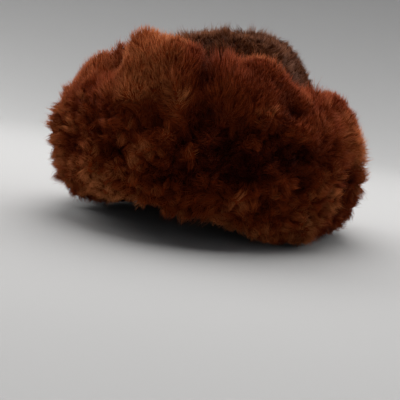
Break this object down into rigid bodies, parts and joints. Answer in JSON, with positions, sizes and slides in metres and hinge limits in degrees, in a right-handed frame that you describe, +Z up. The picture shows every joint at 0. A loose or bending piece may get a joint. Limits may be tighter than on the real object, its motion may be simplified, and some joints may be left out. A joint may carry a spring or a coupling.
{
  "type": "fur hat",
  "caption": "Deep fur hat: a domed crown, hollow for the head, with front, ear and neck flaps turned up round it.",
  "frame": {"origin": "on the floor, under the middle of the hat's box", "axes": "+Z up through the crown, -Y towards the front of the hat, +X towards the wearer's left ear"},
  "size_m": [0.3042, 0.3385, 0.201],
  "materials": {
    "crown_fur": "short greyish brown fur, dull",
    "flap_fur": "long curly chestnut brown fur, dull with a soft sheen"
  },
  "bodies": {
    "root": {"crown": "crown_fur", "front_flap": "flap_fur", "ear_flap_left": "flap_fur", "ear_flap_right": "flap_fur", "neck_flap": "flap_fur"}
  },
  "joints": []
}
